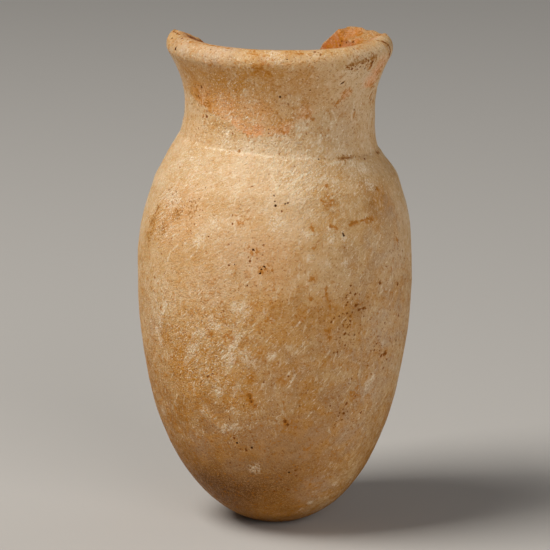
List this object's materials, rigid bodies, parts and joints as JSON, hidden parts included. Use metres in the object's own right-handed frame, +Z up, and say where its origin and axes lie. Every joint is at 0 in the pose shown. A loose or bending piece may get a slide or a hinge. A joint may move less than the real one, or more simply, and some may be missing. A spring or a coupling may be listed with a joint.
{
  "type": "miniature alabaster jar",
  "caption": "Small carved stone jar with a drilled inside, rounded base, flared neck and thick rounded lip, its back rim broken away.",
  "frame": {"origin": "centre of the small flat under the rounded base", "axes": "+Z up the jar's axis to its mouth, -Y to the side where the rim is whole, +Y to the break"},
  "size_m": [0.044, 0.044, 0.0796],
  "materials": {
    "alabaster": "worn satin stone, cream to honey brown, with pale crystal flecks, small dark pits and orange iron stains"
  },
  "bodies": {
    "root": {"jar": "alabaster"}
  },
  "joints": []
}
